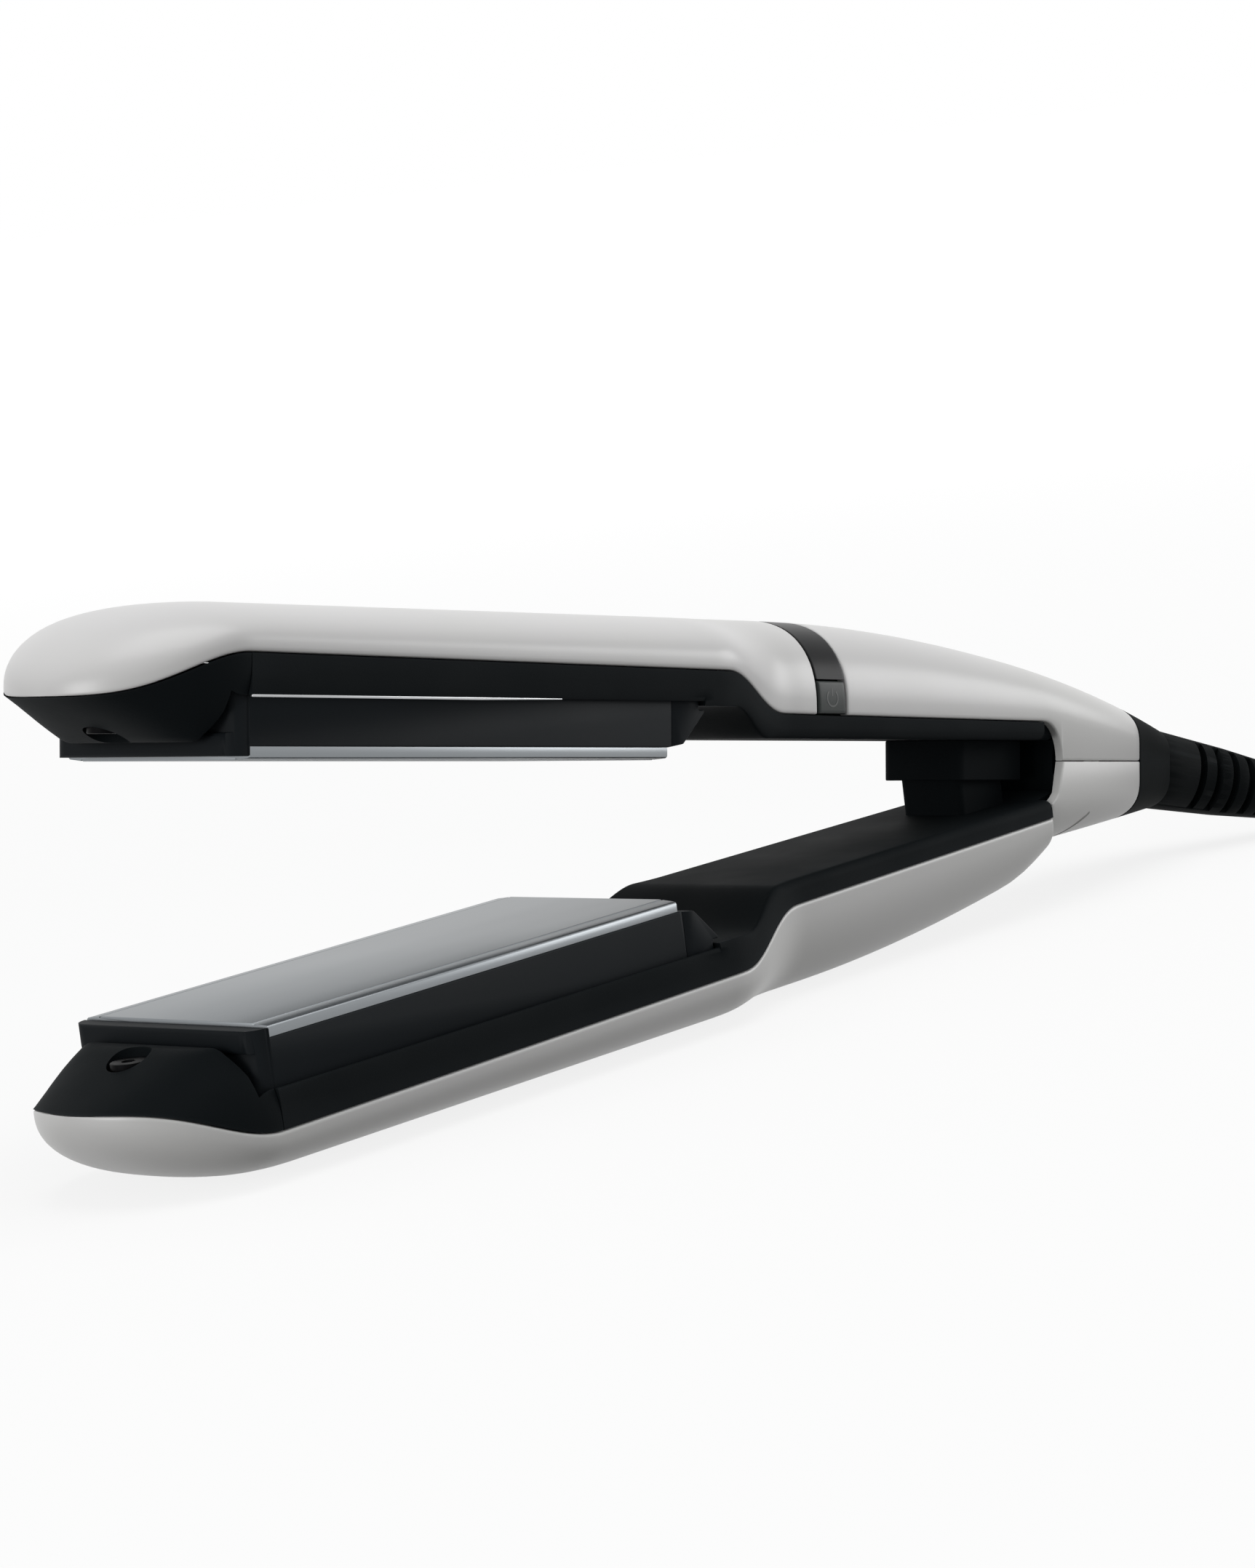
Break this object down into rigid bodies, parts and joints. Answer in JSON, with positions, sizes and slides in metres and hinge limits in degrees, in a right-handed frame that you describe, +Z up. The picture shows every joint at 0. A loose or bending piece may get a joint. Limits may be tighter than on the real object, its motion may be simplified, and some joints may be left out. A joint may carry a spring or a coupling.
{
  "type": "hair iron",
  "caption": "Hand-held hair iron: sprung hinged arms in white shells, floating heated plates, side power button, swivelling cord with a tied hank and plug.",
  "frame": {"origin": "middle of the flat strip on the lower arm's crown, on which the iron rests", "axes": "+X along the lower arm to its nose, +Y to the button side, +Z up"},
  "size_m": [0.459, 0.068, 0.0912],
  "materials": {
    "white_gloss": "injection moulded, polished",
    "black_satin": "injection moulded, fine spark texture",
    "black_gloss": "injection moulded, polished",
    "button_grey": "moulded, satin",
    "plate_metal": "extruded, fine ground and coated",
    "steel": "turned",
    "bronze": "sintered",
    "silicone": "moulded",
    "black_rubber": "moulded PVC, matte",
    "ceramic": "ceramic heater in polyimide film",
    "board_green": "solder mask",
    "pin_metal": "turned, bright nickelled"
  },
  "bodies": {
    "upper_arm": {"upper_shell_front": "white_gloss", "upper_shell_rear": "white_gloss", "rear_cap": "white_gloss", "upper_frame": "black_satin", "upper_nose": "black_satin", "upper_cushions": "silicone", "spring_sleeve": "black_satin", "accent_ring": "black_gloss", "button_switch": "black_gloss", "control_board": "board_green", "hinge_pin": "steel", "jaw_spring": "steel", "swivel_bush": "black_gloss", "upper_nose_screw": "steel", "cord_lead": "black_rubber", "cord_coil": "black_rubber", "cord_tie": "black_rubber", "plug_body": "black_rubber", "plug_pins": "pin_metal"},
    "lower_arm": {"lower_shell": "white_gloss", "lower_frame": "black_satin", "lower_nose": "black_satin", "lower_cushions": "silicone", "hinge_bushes": "bronze", "lower_nose_screw": "steel"},
    "upper_float": {"upper_carrier": "black_satin", "upper_plate": "plate_metal", "upper_heater": "ceramic", "thermal_fuse": "ceramic"},
    "lower_float": {"lower_carrier": "black_satin", "lower_plate": "plate_metal", "lower_heater": "ceramic"},
    "button": {"power_button": "button_grey"},
    "boot": {"cord_boot": "black_rubber"}
  },
  "joints": [
    {"name": "jaw_hinge", "type": "hinge", "parent": "upper_arm", "child": "lower_arm", "pos_m": [-0.15, 0, 0.0255], "axis": [0, -1, 0], "range_deg": [0, 10], "stiffness_Nm_per_rad": 2.9, "springref_deg": -19.77, "deforming": ["jaw_spring"]},
    {"name": "upper_plate_float", "type": "slide", "parent": "upper_arm", "child": "upper_float", "axis": [-0.1736, 0, 0.9848], "range_m": [0, 0.0006], "stiffness_N_per_m": 8000, "springref_m": -0.001, "deforming": ["upper_cushions"]},
    {"name": "lower_plate_float", "type": "slide", "parent": "lower_arm", "child": "lower_float", "axis": [0, 0, -1], "range_m": [0, 0.0006], "stiffness_N_per_m": 8000, "springref_m": -0.001, "deforming": ["lower_cushions"]},
    {"name": "power_button_press", "type": "slide", "parent": "upper_arm", "child": "button", "axis": [0, -1, 0], "range_m": [0, 0.0008], "stiffness_N_per_m": 1500, "springref_m": -0.0006},
    {"name": "cord_swivel", "type": "hinge", "parent": "upper_arm", "child": "boot", "pos_m": [-0.18181, 0, 0.01872], "axis": [-0.8516, 0.4168, -0.3178], "continuous": true}
  ]
}
